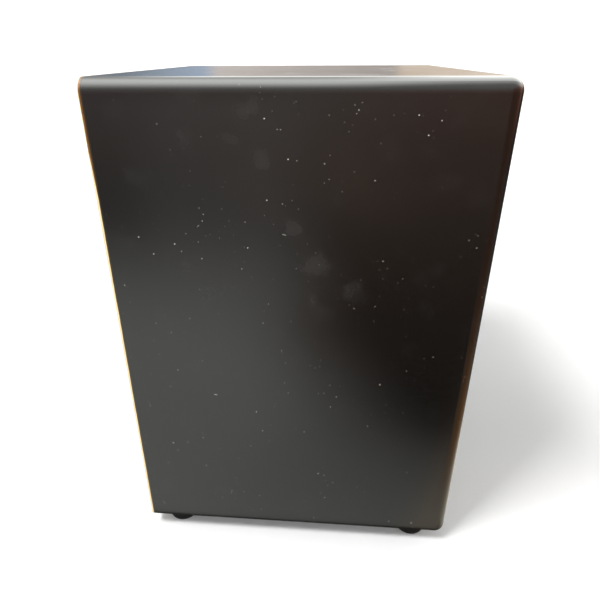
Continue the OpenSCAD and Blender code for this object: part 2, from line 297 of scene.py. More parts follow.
def black_lacquer(name, inner_tones, grain=None):
    """Satin black lacquer outside, with dust and finger marks, and bare board inside."""
    tree = Tree(name)
    mask = inside_mask(tree)
    marks = handling(tree)
    dust = dust_specks(tree)
    lacquer = tree.mix(marks, (0.0038, 0.0032, 0.0026), (0.0114, 0.0106, 0.0104))
    lacquer = tree.mix(dust, lacquer, (0.88, 0.85, 0.78))
    satin = tree.mix(dust, tree.plus(0.18, tree.times(marks, 0.16)), 0.8, "FLOAT")

    place = tree.place if grain is None else grain_place(tree, grain, 0.12)
    fibre = tree.noise(420, 4, place, 0.7)
    dark, mid, light = inner_tones
    board = tree.ramp(fibre, [(0.34, dark), (0.56, mid)])
    board = tree.mix(tree.span(tree.noise(25, 3, place), 0.35, 0.7, 0, 0.5), board, light)

    peel = tree.bump(tree.noise(520, 2), 0.02 * MM, 0.30)
    wave = tree.bump(tree.noise(36, 2), 0.15 * MM, 0.12, peel)
    dusty = tree.bump(dust, 0.08 * MM, 0.5, wave)
    furry = tree.bump(fibre, 0.15 * MM, 0.7)
    return tree.finish(
        tree.mix(mask, lacquer, board),
        tree.mix(mask, satin, 0.85, "FLOAT"),
        tree.mix(mask, dusty, furry, "VECTOR"),
    )


# ---------------------------------------------------------------- the playing face's veneer

def veneer_face(tree, fibre, pores, place):
    """The colour of a face: growth rings drawn out along Z, with fibres, pores and darker clouds."""
    broad = tree.noise(16, 3, place, 0.5, 0.4)
    rings = tree.gap(tree.math("FRACT", tree.times(broad, 15.0)), 0.5)
    figure = tree.plus(tree.times(rings, 0.9), tree.times(fibre, 0.45))
    face = tree.ramp(figure, [
        (0.15, (0.235, 0.095, 0.026)), (0.45, (0.44, 0.215, 0.072)), (0.85, (0.62, 0.36, 0.145)),
    ])
    face = tree.mix(tree.span(tree.noise(7, 2), 0.3, 0.75, 0, 0.35), face, (0.36, 0.155, 0.042))
    return tree.mix(tree.times(pores, 0.55), face, (0.10, 0.038, 0.012))


def veneer_edge(tree):
    """The colour of an edge, where the plies show: pale skin, amber core, and the ply behind painted near
    black as the shade in the seam against the box.
    """
    _, y, z = tree.axes()
    depth = tree.minus(y, FRONT_Y)
    wobble = tree.times(tree.minus(tree.noise(260, 2), 0.5), 0.25 * MM)
    level = tree.math("DIVIDE", tree.plus(depth, wobble), TAPA_T)
    streak = tree.noise(520, 3, tree.squeezed(2, 0.06), 0.6)
    core = tree.ramp(streak, [
        (0.30, (0.075, 0.027, 0.003)), (0.55, (0.190, 0.075, 0.009)), (0.75, (0.33, 0.155, 0.030)),
    ])
    skin = tree.mix(streak, (0.62, 0.46, 0.22), (0.84, 0.70, 0.44))
    # Painted shade: the back ply is near black to stand for the shadow in the seam between tapa and side
    # panel.
    seam_shade_ply = tree.mix(streak, (0.010, 0.006, 0.003), (0.030, 0.018, 0.008))
    up_high = tree.span(z, TOP_Z - 85 * MM, TOP_Z - 50 * MM, 0.0, 0.40)
    skin_end = tree.minus(tree.span(tree.noise(35, 2), 0.3, 0.7, 0.50, 0.60), up_high)
    in_core = tree.math("MULTIPLY", tree.minus(level, skin_end), 12.0, clamp=True)
    edge = tree.mix(in_core, skin, core)
    return tree.mix(tree.span(level, 0.58, 0.70), edge, seam_shade_ply), in_core


def tapa_veneer():
    """Amber veneer on both faces, paler where its rim is worn, with the plies showing at the edges."""
    tree = Tree("tapa_veneer")
    x, _, z = tree.axes()
    place = grain_place(tree, 2, 0.05, 0.012)
    fibre = tree.noise(900, 3, place, 0.65)
    pores = tree.span(tree.noise(1600, 2, grain_place(tree, 2, 0.02)), 0.60, 0.72)
    face = veneer_face(tree, fibre, pores, place)
    edge, in_core = veneer_edge(tree)

    normal = tree.add("ShaderNodeNewGeometry").outputs["Normal"]
    on_edge = tree.math("LESS_THAN", tree.math("ABSOLUTE", tree.axes(normal)["Y"]), 0.6)
    from_side = tree.minus(HALF_W, tree.math("ABSOLUTE", x))
    from_end = tree.minus(HALF_H, tree.gap(z, MID_Z))
    rim = tree.span(tree.math("MINIMUM", from_side, from_end), 1.6 * MM, 0.0)
    worn = tree.times(rim, tree.minus(1.0, on_edge))
    colour = tree.mix(on_edge, face, edge)
    colour = tree.mix(tree.times(worn, 0.35), colour, (0.72, 0.50, 0.25))

    rough = tree.mix(on_edge, tree.plus(0.30, tree.times(fibre, 0.16)), 0.30, "FLOAT")
    bump = tree.bump(tree.minus(fibre, tree.times(pores, 0.8)), 0.05 * MM, 0.35)
    plies = tree.bump(in_core, 0.10 * MM, 0.4, bump)
    return tree.finish(colour, rough, plies, IOR=1.36, Coat_Weight=0.25, Coat_Roughness=0.18)


# ---------------------------------------------------------------- other materials

def bare_wood(name, along, dark, mid, light, rough=0.62, coat=0.0):
    """Plain sawn or planed wood with its grain along one axis."""
    tree = Tree(name)
    place = grain_place(tree, along, 0.06, 0.006)
    rings = tree.noise(150, 4, place, 0.55, 0.8)
    fibre = tree.noise(1100, 3, place, 0.7)
    tone = tree.plus(tree.times(rings, 0.75), tree.times(fibre, 0.30))
    colour = tree.ramp(tone, [(0.32, dark), (0.52, mid), (0.72, light)])
    grime = tree.span(tree.noise(30, 3), 0.55, 0.8, 0, 0.35)
    colour = tree.mix(grime, colour, tuple(0.6 * part for part in dark))
    roughness = tree.plus(rough, tree.times(fibre, 0.18))
    normal = tree.bump(tone, 0.12 * MM, 0.55)
    return tree.finish(colour, roughness, normal, Coat_Weight=coat, Coat_Roughness=0.25)


def metal(name, bright, dull, rough, brushed=None):
    """Metal with tarnish in patches and fine scratches; brushed is the axis the marks run along."""
    tree = Tree(name)
    place = tree.place if brushed is None else tree.squeezed(brushed, 0.04)
    marks = tree.noise(2600, 3, place, 0.6)
    patch = tree.span(tree.noise(130, 4, roughness=0.6), 0.42, 0.70, smooth=True)
    colour = tree.mix(patch, bright, dull)
    roughness = tree.plus(tree.plus(rough, tree.times(marks, 0.16)), tree.times(patch, 0.16))
    return tree.finish(colour, roughness, tree.bump(marks, 0.02 * MM, 0.35), Metallic=1.0)


def black_oxide():
    """Black screws, worn to grey where the driver has touched them."""
    tree = Tree("black_oxide")
    worn = tree.span(tree.noise(900, 4, roughness=0.65), 0.56, 0.72)
    colour = tree.mix(worn, (0.020, 0.020, 0.022), (0.13, 0.125, 0.12))
    roughness = tree.plus(0.34, tree.times(worn, 0.2))
    return tree.finish(colour, roughness, tree.bump(tree.noise(3000, 2), 0.02 * MM, 0.4), Metallic=0.85)


def rubber():
    """Moulded rubber: matt, with a fine spark-eroded skin and pale dust low down."""
    tree = Tree("black_rubber")
    skin = tree.noise(2400, 3, roughness=0.6)
    low_down = tree.span(tree.axes()["Z"], 5 * MM, 0.0)
    dusty = tree.times(tree.span(tree.noise(260, 4, roughness=0.7), 0.45, 0.75), low_down)
    colour = tree.mix(tree.times(dusty, 0.3), (0.0060, 0.0060, 0.0063), (0.080, 0.075, 0.068))
    roughness = tree.plus(0.42, tree.times(skin, 0.22))
    return tree.finish(colour, roughness, tree.bump(skin, 0.05 * MM, 0.5))


def plastic(name, colour, worn, rough, handled_rough):
    """Turned or moulded plastic with handling marks, which are rougher by handled_rough."""
    tree = Tree(name)
    marks = tree.span(tree.noise(160, 5, roughness=0.65, distortion=0.8), 0.5, 0.72, smooth=True)
    roughness = tree.plus(rough, tree.times(marks, handled_rough))
    shade = tree.mix(tree.times(marks, 0.4), colour, worn)
    return tree.finish(shade, roughness, tree.bump(tree.noise(1500, 2), 0.02 * MM, 0.3))


BOARD_TONES = ((0.20, 0.115, 0.058), (0.36, 0.225, 0.125), (0.29, 0.175, 0.092))
PLY_TONES = ((0.30, 0.18, 0.085), (0.52, 0.36, 0.20), (0.40, 0.26, 0.13))
PINE_TONES = ((0.42, 0.26, 0.115), (0.62, 0.44, 0.23), (0.72, 0.56, 0.34))
OILED_TONES = ((0.22, 0.105, 0.042), (0.40, 0.22, 0.095), (0.52, 0.32, 0.155))
STEEL, STEEL_DULL = (0.62, 0.63, 0.65), (0.38, 0.38, 0.40)

LACQUER = black_lacquer("black_lacquer_mdf", BOARD_TONES)
LACQUERED_PLY = black_lacquer("black_lacquer_ply", PLY_TONES, grain=2)
VENEER = tapa_veneer()
SOFTWOOD = bare_wood("softwood", 1, *PINE_TONES)
BEAM_WOOD = bare_wood("beam_hardwood", 0, *OILED_TONES, rough=0.42, coat=0.15)
BLOCK_WOOD = bare_wood("block_hardwood", 2, *OILED_TONES, rough=0.42, coat=0.15)
ZINC = metal("zinc_plate", (0.66, 0.67, 0.69), (0.40, 0.41, 0.43), 0.24)
ROD_STEEL = metal("rod_steel", STEEL, STEEL_DULL, 0.18, brushed=1)
PIN_STEEL = metal("pin_steel", STEEL, STEEL_DULL, 0.18, brushed=0)
WIRE_STEEL = metal("snare_wire_steel", (0.70, 0.71, 0.73), (0.44, 0.44, 0.45), 0.16)
BRASS = metal("snare_brass", (0.78, 0.56, 0.25), (0.46, 0.27, 0.10), 0.28, brushed=0)
OXIDE = black_oxide()
RUBBER = rubber()
NYLON = plastic("nylon", (0.74, 0.72, 0.65), (0.50, 0.47, 0.40), 0.38, 0.2)
KNOB_BLACK = plastic("knob_black", (0.013, 0.013, 0.014), (0.05, 0.048, 0.045), 0.14, 0.22)


def paint(material, *nodes):
    """Gives CAD nodes a material."""
    for node in nodes:
        slots = NODES[node].data.materials
        slots.clear()
        slots.append(material)


paint(LACQUER, "side_panel_left", "side_panel_right", "top_panel", "bottom_panel")
paint(LACQUERED_PLY, "back_panel")
paint(VENEER, "tapa")
paint(PIN_STEEL, "pivot_pin_left", "pivot_pin_right")


# ---------------------------------------------------------------- mesh tools

def mesh_from(bm, name):
    """A mesh made from bm, which is used up."""
    mesh = bpy.data.meshes.new(name)
    bm.to_mesh(mesh)
    bm.free()
    return mesh


def place_object(name, data):
    """A new object in the scene that holds data."""
    obj = bpy.data.objects.new(name, data)
    bpy.context.scene.collection.objects.link(obj)
    return obj


def piece(name, bm, body, material, node, smooth_angle=35):
    """Turns bm into an object that rides on a body and stands for a CAD node."""
    bmesh.ops.recalc_face_normals(bm, faces=bm.faces)
    mesh = mesh_from(bm, name)
    mesh.shade_smooth()
    mesh.set_sharp_from_angle(angle=math.radians(smooth_angle))
    mesh.materials.append(material)
    obj = place_object(name, mesh)
    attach(obj, body)
    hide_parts(node)


def merge(bm, part):
    """Moves everything in part into bm."""
    mesh = mesh_from(part, "part")
    bm.from_mesh(mesh)
    bpy.data.meshes.remove(mesh)


def frame_along(origin, axis):
    """The matrix that puts a piece built along +Z at origin, pointing along axis."""
    return Matrix.Translation(origin) @ Vector(axis).to_track_quat("Z", "Y").to_matrix().to_4x4()


def near_end(node):
    """The middle of a node's -Y end, with its +Z along the frame's +Y."""
    low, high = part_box(node)
    mid = (low + high) / 2
    return frame_along(Vector((mid.x, low.y, mid.z)), Y)


def on_circle(radius, turn, height):
    """A point at a radius, a part of a whole turn about the local Z axis, and a height."""
    return Vector((radius * math.cos(TAU * turn), radius * math.sin(TAU * turn), height))


def circle(radius, height, steps):
    return [on_circle(radius, k / steps, height) for k in range(steps)]


def join_rings(bm, rings, closed=False):
    """Faces from each ring of vertices to the next, and from the last to the first in a closed row.

    A ring may be one vertex many times over, where the surface comes to a point."""
    steps = len(rings[0])
    pairs = list(zip(rings, rings[1:]))
    if closed:
        pairs.append((rings[-1], rings[0]))
    for lower, upper in pairs:
        for i in range(steps):
            j = (i + 1) % steps
            corners = [lower[i], lower[j], upper[j], upper[i]]
            unique = [v for k, v in enumerate(corners) if v not in corners[:k]]
            if len(unique) > 2:
                bm.faces.new(unique)


def join_solid(bm, rows):
    """A closed solid skinned over rows of points, with a flat face on its first and its last row."""
    rings = [[bm.verts.new(p) for p in row] for row in rows]
    join_rings(bm, rings)
    bm.faces.new(rings[0])
    bm.faces.new(rings[-1])


def lathe(bm, outline, place, steps=48, closed=True):
    """Turns an outline of (radius, height) points about the local Z axis. Points on the axis are shared."""
    on_axis = 1e-7
    rings = []
    for radius, height in outline:
        if radius < on_axis:
            rings.append([bm.verts.new(place @ Vector((0, 0, height)))] * steps)
        else:
            rings.append([bm.verts.new(place @ p) for p in circle(radius, height, steps)])
    join_rings(bm, rings, closed)


def arc(cx, cy, radius, start, end, steps=6):
    """Points on an arc, angles in degrees."""
    angles = (math.radians(start + (end - start) * i / steps) for i in range(steps + 1))
    return [(cx + radius * math.cos(a), cy + radius * math.sin(a)) for a in angles]


def add_prism(bm, outline, place, depth, bevel):
    """Extrudes a flat outline of (x, y) points along the local Z axis, and eases its edges."""
    part = bmesh.new()
    base = [part.verts.new((px, py, 0)) for px, py in outline]
    top = [part.verts.new((px, py, depth)) for px, py in outline]
    part.faces.new(base)
    part.faces.new(top)
    join_rings(part, [base, top])
    bmesh.ops.bevel(part, geom=part.edges[:], offset=bevel, segments=3, profile=0.5, affect="EDGES")
    bmesh.ops.transform(part, matrix=place, verts=part.verts)
    merge(bm, part)


def add_tube(bm, points, radius, sides):
    """A round tube along a row of points, closed at both ends."""
    rows = []
    side_way = (points[1] - points[0]).orthogonal().normalized()
    for i, point in enumerate(points):
        along = (points[min(i + 1, len(points) - 1)] - points[max(i - 1, 0)]).normalized()
        side_way = (side_way - along * side_way.dot(along)).normalized()
        up_way = along.cross(side_way)
        turns = [TAU * k / sides for k in range(sides)]
        rows.append([point + radius * (math.cos(a) * side_way + math.sin(a) * up_way) for a in turns])
    join_solid(bm, rows)


def clusters(node):
    """The lowest and highest corners of each separate solid in a node, found by the islands of its mesh."""
    mesh = NODES[node].data
    same_point = 0.02 * MM
    parent = list(range(len(mesh.vertices)))

    def root(i):
        while parent[i] != i:
            parent[i] = parent[parent[i]]
            i = parent[i]
        return i

    seen = {}
    for v in mesh.vertices:
        key = tuple(round(c / same_point) for c in v.co)
        if key in seen:
            parent[root(v.index)] = root(seen[key])
        seen[key] = v.index
    for edge in mesh.edges:
        parent[root(edge.vertices[0])] = root(edge.vertices[1])
    islands = {}
    for v in mesh.vertices:
        islands.setdefault(root(v.index), []).append(v.co)
    found = []
    for points in islands.values():
        low = Vector([min(p[k] for p in points) for k in range(3)])
        high = Vector([max(p[k] for p in points) for k in range(3)])
        found.append((low, high))
    found.sort(key=lambda pair: tuple(round(c, 4) for c in (pair[0] + pair[1]) / 2))
    return found


# ---------------------------------------------------------------- screws

SCREW_STEPS = 24


def cross_cutter(reach, width, depth):
    """A plus-shaped plug that narrows as it goes down from z = 0."""
    w, r = width / 2, reach / 2
    plus = [(w, w), (w, r), (-w, r), (-w, w), (-r, w), (-r, -w)]
    plus += [(-px, -py) for px, py in plus]
    levels = [(0.3 * depth, 1.05), (0.0, 1.0), (-0.55 * depth, 0.78), (-depth, 0.30)]
    cutter = bmesh.new()
    join_solid(cutter, [[(px * k, py * k, height) for px, py in plus] for height, k in levels])
    bmesh.ops.recalc_face_normals(cutter, faces=cutter.faces)
    return cutter


def thread_rows(shank_r, length, plain, pitch):
    """Rings of a screw's shank from the end of its plain part down to its point, as rows of points."""
    depth = 0.34 * shank_r
    tip = 2.2 * shank_r
    least_r, least_taper = 0.12 * MM, 0.08
    rings_per_turn = 6
    count = int((length - plain) / pitch * rings_per_turn)
    rows = []
    for i in range(count + 1):
        down = plain + (length - plain) * i / count
        taper = min(1.0, (length - down) / tip)
        fade = min(1.0, (down - plain) / pitch, taper * 1.4)
        row = []
        for k in range(SCREW_STEPS):
            turn = (down / pitch + k / SCREW_STEPS) % 1.0
            crest = max(0.0, 1 - abs(turn - 0.5) / 0.28)
            radius = (shank_r - depth * fade + depth * fade * crest) * max(taper, least_taper)
            row.append(on_circle(max(least_r, radius), k / SCREW_STEPS, -down))
        rows.append(row)
    return rows


def screw_mesh(head_outline, shank_r, length, plain, pitch, recess):
    """One screw, its head's top at z = 0 and its shank along -Z, as a mesh with a cross recess."""
    bm = bmesh.new()
    rows = [circle(r, z, SCREW_STEPS) for r, z in head_outline]
    join_solid(bm, rows + thread_rows(shank_r, length, plain, pitch))
    bmesh.ops.recalc_face_normals(bm, faces=bm.faces)
    body = place_object("temporary", mesh_from(bm, "temporary"))
    cutter = place_object("temporary", mesh_from(cross_cutter(*recess), "temporary"))
    cut = body.modifiers.new("recess", "BOOLEAN")
    cut.operation = "DIFFERENCE"
    cut.solver = "EXACT"
    cut.object = cutter
    bpy.context.view_layer.update()
    shape = bpy.data.meshes.new_from_object(body.evaluated_get(bpy.context.evaluated_depsgraph_get()))
    for obj in (body, cutter):
        mesh = obj.data
        bpy.data.objects.remove(obj)
        bpy.data.meshes.remove(mesh)
    return shape


def screw_set(name, body, material, shape, places):
    """A node's screws, each turned a different way about its own axis."""
    bm = bmesh.new()
    turns = random.Random(name)
    for place in places:
        part = bmesh.new()
        part.from_mesh(shape)
        turn = Matrix.Rotation(turns.uniform(0, TAU), 4, "Z")
        bmesh.ops.transform(part, matrix=place @ turn, verts=part.verts)
        merge(bm, part)
    piece(name + "_threaded", bm, body, material, name, 30)


def screw_places(node, axis):
    """A matrix for each screw in a node, at its head's top, with +Z out of the head along axis."""
    places = []
    for low, high in clusters(node):
        reach = abs((high - low).dot(axis)) / 2
        places.append(frame_along((low + high) / 2 + axis * reach, axis))
    return places


def flat_head(head_r, shank_r):
    """Outline of a countersunk head from its flat top to its shank, as (radius, height)."""
    land = 0.25 * MM
    drop = head_r - shank_r
    rim = [(head_r * 0.97, 0.0), (head_r, -land * 0.5), (head_r - land * 0.3, -land)]
    return rim + [(shank_r, -drop), (shank_r, -drop - 0.4 * MM)]


def pan_head(head_r, shank_r, height):
    """Outline of a domed head from its top to its shank."""
    dome = arc(0, -height * 0.75, head_r * 0.95, 82, 28, 6)
    peak = dome[0][1]
    dome = [(min(r, head_r), z - peak) for r, z in dome]
    low = [(head_r, -height * 0.72), (head_r, -height * 0.94), (head_r * 0.97, -height)]
    return dome + low + [(shank_r, -height), (shank_r, -height - 0.3 * MM)]


def pan_screws(node, body, across, along, places, shank_r, head_h, plain, pitch, recess):
    """Zinc screws with domed heads. across and along are the frame's axes of their width and length."""
    low, high = clusters(node)[0]
    head_r = (high[across] - low[across]) / 2
    reach, width, depth = recess
    shape = screw_mesh(
        pan_head(head_r, shank_r, head_h), shank_r, high[along] - low[along], plain, pitch,
        (head_r * reach, width, depth),
    )
    screw_set(node, body, ZINC, shape, places)


def block_screw_places():
    """The places of the pivot blocks' screws, whose heads are towards the middle of the box."""
    places = []
    for low, high in clusters("pivot_block_screws"):
        mid = (low + high) / 2
        on_left = high.x < 0
        head = Vector((high.x if on_left else low.x, mid.y, mid.z))
        places.append(frame_along(head, (1, 0, 0) if on_left else (-1, 0, 0)))
    return places


WOOD_SHANK_R = 1.75 * MM
WOOD_PITCH = 1.4 * MM
PLATE_SHANK_R = 1.5 * MM
PLATE_PITCH = 1.1 * MM

tapa_head_r = size("tapa_screws_top").z / 2
tapa_screw = screw_mesh(
    flat_head(tapa_head_r, WOOD_SHANK_R), WOOD_SHANK_R, size("tapa_screws_top").y, tapa_head_r, WOOD_PITCH,
    (tapa_head_r * 1.15, 0.95 * MM, 1.7 * MM),
)
for name in ("tapa_screws_top", "tapa_screws_bottom", "tapa_screws_left", "tapa_screws_right"):
    screw_set(name, SHELL, OXIDE, tapa_screw, screw_places(name, -Y))

pan_screws(
    "foot_screws", SHELL, 0, 2, screw_places("foot_screws", -Z),
    WOOD_SHANK_R, 2.55 * MM, 8 * MM, WOOD_PITCH, (1.05, 1.05 * MM, 1.6 * MM),
)
pan_screws(
    "pivot_block_screws", SHELL, 2, 0, block_screw_places(),
    WOOD_SHANK_R, 2.2 * MM, 12 * MM, WOOD_PITCH, (1.1, 1.0 * MM, 1.5 * MM),
)
pan_screws(
    "snare_plate_screws", ARM, 2, 1, screw_places("snare_plate_screws", -Y),
    PLATE_SHANK_R, 1.8 * MM, 2.4 * MM, PLATE_PITCH, (1.1, 0.8 * MM, 1.2 * MM),
)


# ---------------------------------------------------------------- feet and washers

def foot(name):
    """A moulded rubber foot, with two grooves and a rolled rim below, a step and a screw's recess."""
    low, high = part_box(name)
    mid = (low + high) / 2
    tall = high.z - low.z
    top_r = (high.x - low.x) / 2
    foot_r = top_r - 1.5 * MM
    recess_r, recess_h, hole_r = 6.5 * MM, 6 * MM, 1.8 * MM
    recess_ease, mouth_ease, rim, top_ease = 0.8 * MM, 0.7 * MM, 2 * MM, 0.5 * MM
    groove_w, groove_h = 1.0 * MM, 0.45 * MM
    outline = [(hole_r, tall), (hole_r, recess_h)]
    outline += arc(recess_r - recess_ease, recess_h - recess_ease, recess_ease, 90, 0, 3)
    outline += arc(recess_r + mouth_ease, mouth_ease, mouth_ease, 180, 270, 4)
    for groove_r in (9.0 * MM, 11.2 * MM):
        outline += [(groove_r - groove_w / 2, 0), (groove_r - groove_w / 4, groove_h)]
        outline += [(groove_r + groove_w / 4, groove_h), (groove_r + groove_w / 2, 0)]
    outline += arc(foot_r - rim, rim, rim, -90, 0, 6)
    step_r = foot_r + (top_r - foot_r) * 0.80
    outline += [(foot_r + 0.25 * MM, tall * 0.42), (step_r - 0.3 * MM, tall * 0.76), (step_r, tall * 0.79)]
    outline += arc(top_r - top_ease, tall - top_ease, top_ease, 0, 90, 3)
    bm = bmesh.new()
    lathe(bm, outline, Matrix.Translation((mid.x, mid.y, low.z)), 64)
    piece(name + "_moulded", bm, SHELL, RUBBER, name, 40)


def washer_outline(inner, outer, thick, ease):
    """A washer's section, with eased edges, from z = 0 up."""
    outline = [(inner, ease), (inner, thick - ease), (inner + ease, thick), (outer - ease, thick)]
    return outline + [(outer, thick - ease), (outer, ease), (outer - ease, 0), (inner + ease, 0)]


def washers(name, body, material, axis, inner):
    """A node's washers, with a hole of radius inner along axis."""
    bm = bmesh.new()
    for low, high in clusters(name):
        extent = high - low
        thick = abs(extent.dot(axis))
        place = frame_along((low + high) / 2 - axis * thick / 2, axis)
        lathe(bm, washer_outline(inner, max(extent) / 2, thick, min(0.2 * MM, thick / 4)), place)
    piece(name + "_turned", bm, body, material, name, 40)


for name in ("foot_front_left", "foot_front_right", "foot_back_left", "foot_back_right"):
    foot(name)
washers("foot_washers", SHELL, ZINC, Z, 2.2 * MM)
for name in ("thrust_washer_left", "thrust_washer_right"):
    washers(name, ARM, NYLON, X, 4.0 * MM)


# ---------------------------------------------------------------- wooden parts inside

def glue_block(name):
    """A triangular batten with eased edges in a corner of the box."""
    low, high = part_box(name)
    corner_x, away_x = (high.x, -1) if low.x > 0 else (low.x, 1)
    corner_z, away_z = (high.z, -1) if low.z > MID_Z else (low.z, 1)
    leg, land = high.x - low.x, 3 * MM
    outline = [(0, 0), (leg, 0), (leg, land), (land, leg), (0, leg)]
    outline = [(corner_x + away_x * a, corner_z + away_z * b) for a, b in outline]
    place = Matrix(((1, 0, 0, 0), (0, 0, 1, low.y), (0, 1, 0, 0), (0, 0, 0, 1)))
    bm = bmesh.new()
    add_prism(bm, outline, place, high.y - low.y, 0.5 * MM)
    piece(name + "_batten", bm, SHELL, SOFTWOOD, name)


def wood_block(name, body, material, ease):
    """A planed block that fills a node's box, with eased edges."""
    low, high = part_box(name)
    outline = [(low.x, low.y), (high.x, low.y), (high.x, high.y), (low.x, high.y)]
    bm = bmesh.new()
    add_prism(bm, outline, Matrix.Translation((0, 0, low.z)), high.z - low.z, ease)
    piece(name + "_planed", bm, body, material, name)


for end in ("top", "bottom"):
    for side in ("left", "right"):
        glue_block("glue_block_" + end + "_" + side)
wood_block("snare_beam", ARM, BEAM_WOOD, 1.0 * MM)
wood_block("pivot_block_left", SHELL, BLOCK_WOOD, 0.8 * MM)
wood_block("pivot_block_right", SHELL, BLOCK_WOOD, 0.8 * MM)


# ---------------------------------------------------------------- snares

def snare_wires(name):
    """A set of wires, each a coil from its plate to its free end."""
    bm = bmesh.new()
    wire_r, pitch = 0.25 * MM, 1.75 * MM
    steps, sides = 10, 5
    for low, high in clusters(name):
        mid = (low + high) / 2
        coil_r = (high.y - low.y) / 2 - wire_r
        long = high.z - low.z - 2 * wire_r
        turns = int(long / pitch)
        rise = long / (turns * steps)
        start = Vector((mid.x, mid.y, low.z + wire_r))
        points = [start + on_circle(coil_r, i / steps, rise * i) for i in range(turns * steps + 1)]
        add_tube(bm, points, wire_r, sides)
    piece(name + "_coiled", bm, ARM, WIRE_STEEL, name, 80)


def snare_plate(name, wires):
    """The strip that the wires are soldered to, with round corners and a bead of solder on each wire."""
    low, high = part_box(name)
    mid = (low + high) / 2
    corner_r = 2.0 * MM
    w, h = (high.x - low.x) / 2 - corner_r, (high.z - low.z) / 2 - corner_r
    outline = []
    for cx, cy, start in ((w, h, 0), (-w, h, 90), (-w, -h, 180), (w, -h, 270)):
        outline += arc(cx, cy, corner_r, start, start + 90, 4)
    place = Matrix.Translation((mid.x, high.y, mid.z)) @ Matrix.Rotation(math.pi / 2, 4, "X")
    bm = bmesh.new()
    add_prism(bm, outline, place, high.y - low.y, 0.25 * MM)
    bead_size = Vector((1.5, 0.7, 2.2)) * MM
    bead_z = high.z - 2.6 * MM
    for wire_low, wire_high in clusters(wires):
        bead_at = Vector(((wire_low.x + wire_high.x) / 2, low.y, bead_z))
        for v in bmesh.ops.create_uvsphere(bm, u_segments=12, v_segments=8, radius=1.0)["verts"]:
            v.co = bead_at + v.co * bead_size
    piece(name + "_soldered", bm, ARM, BRASS, name)


for side in ("left", "right"):
    snare_wires("snare_wires_" + side)
    snare_plate("snare_plate_" + side, "snare_wires_" + side)


# ---------------------------------------------------------------- lever

def lever():
    """A rod that is threaded where the nut holds it, with a rounded far end."""
    low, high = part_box("snare_lever")
    rod_r = (high.x - low.x) / 2
    long = high.y - low.y
    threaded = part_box("lever_nut")[1].y - low.y + 9 * MM
    pitch, depth, ease = 1.0 * MM, 0.45 * MM, 0.6 * MM
    steps, rings_per_turn = 32, 6
    count = int(threaded / pitch * rings_per_turn)
    rows = []
    for i in range(count + 1):
        along = threaded * i / count
        fade = min(1.0, (threaded - along) / pitch, along / pitch)
        turns = [(along / pitch + k / steps) % 1.0 for k in range(steps)]
        radii = [rod_r - depth * fade * abs(turn - 0.5) * 2 for turn in turns]
        rows.append([on_circle(radius, k / steps, along) for k, radius in enumerate(radii)])
    rows += [circle(rod_r, long - ease, steps), circle(rod_r - ease, long, steps)]
    place = near_end("snare_lever")
    bm = bmesh.new()
    join_solid(bm, [[place @ p for p in row] for row in rows])
    piece("snare_lever_rod", bm, ARM, ROD_STEEL, "snare_lever")


def nut():
    """A hexagon nut whose corners are turned off at both faces."""
    low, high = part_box("lever_nut")
    flat_r = (high.z - low.z) / 2
    thick = high.y - low.y
    corner_r = flat_r / math.cos(math.pi / 6)
    bore_r, chamfer, steps = 3.0 * MM, 0.55 * MM, 72
    levels = [(0.0, bore_r), (0.0, flat_r * 0.97), (chamfer, corner_r)]
    levels += [(thick - height, limit) for height, limit in reversed(levels)]
    place = near_end("lever_nut") @ Matrix.Rotation(math.pi / 6, 4, "Z")
    if high.x - low.x < high.z - low.z:
        place = place @ Matrix.Rotation(math.pi / 6, 4, "Z")
    bm = bmesh.new()
    rings = []
    for height, limit in levels:
        ring = []
        for k in range(steps):
            off_flat = (TAU * k / steps + math.pi / 6) % (math.pi / 3) - math.pi / 6
            radius = min(limit, flat_r / math.cos(off_flat))
            ring.append(bm.verts.new(place @ on_circle(radius, k / steps, height)))
        rings.append(ring)
    join_rings(bm, rings, closed=True)
    piece("lever_nut_chamfered", bm, ARM, ZINC, "lever_nut", 25)


def knob():
    """A turned ball knob with a short collar where the rod goes in."""
    low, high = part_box("lever_knob")
    ball_r = (high.z - low.z) / 2
    tall = high.y - low.y
    collar_r, bore_r, bore_h, ease = 5.2 * MM, 3.0 * MM, 12 * MM, 0.4 * MM
    start = -math.degrees(math.acos(min(1.0, (collar_r + 0.6 * MM) / ball_r)))
    outline = [(bore_r, 0.5 * MM), (bore_r + ease, 0), (collar_r - ease, 0), (collar_r, ease)]
    outline += [(r, h) for r, h in arc(0, tall - ball_r, ball_r, start, 90, 22) if h > 2 * ease]
    outline[-1] = (0.0, tall)
    outline += [(0.0, bore_h), (bore_r, bore_h)]
    bm = bmesh.new()
    lathe(bm, outline, near_end("lever_knob"), 56)
    piece("lever_knob_ball", bm, ARM, KNOB_BLACK, "lever_knob")


lever()
nut()
knob()


# ---------------------------------------------------------------- floor and light

def pale_floor():
    """Plain painted board with the faintest unevenness, lit up a little away from the object."""
    tree = Tree("pale_floor")
    tone = tree.span(tree.noise(2.5, 2), 0.3, 0.7, 0.985, 1.0)
    tree.shader.inputs["Emission Color"].default_value = (1, 1, 1, 1)
    tree.feed(tree.shader.inputs["Emission Strength"], tree.span(tree.reach(), 0.30, 1.6, 0.0, 0.42))
    return tree.finish(tree.mix(tone, (0, 0, 0), (0.90, 0.90, 0.90)), 0.7)


def sweep():
    """A pale floor that curves up into a wall on every side."""
    bm = bmesh.new()
    flat, bend, rise = 3.2, 1.2, 2.6
    outline = [(0.0, 0.0), (flat, 0.0)] + arc(flat, bend, bend, -90, 0, 16)[1:] + [(flat + bend, bend + rise)]
    lathe(bm, outline, Matrix.Identity(4), 96, closed=False)
    bmesh.ops.recalc_face_normals(bm, faces=bm.faces)
    mesh = mesh_from(bm, "sweep")
    mesh.shade_smooth()
    mesh.materials.append(pale_floor())
    obj = place_object("sweep", mesh)
    obj.visible_glossy = False


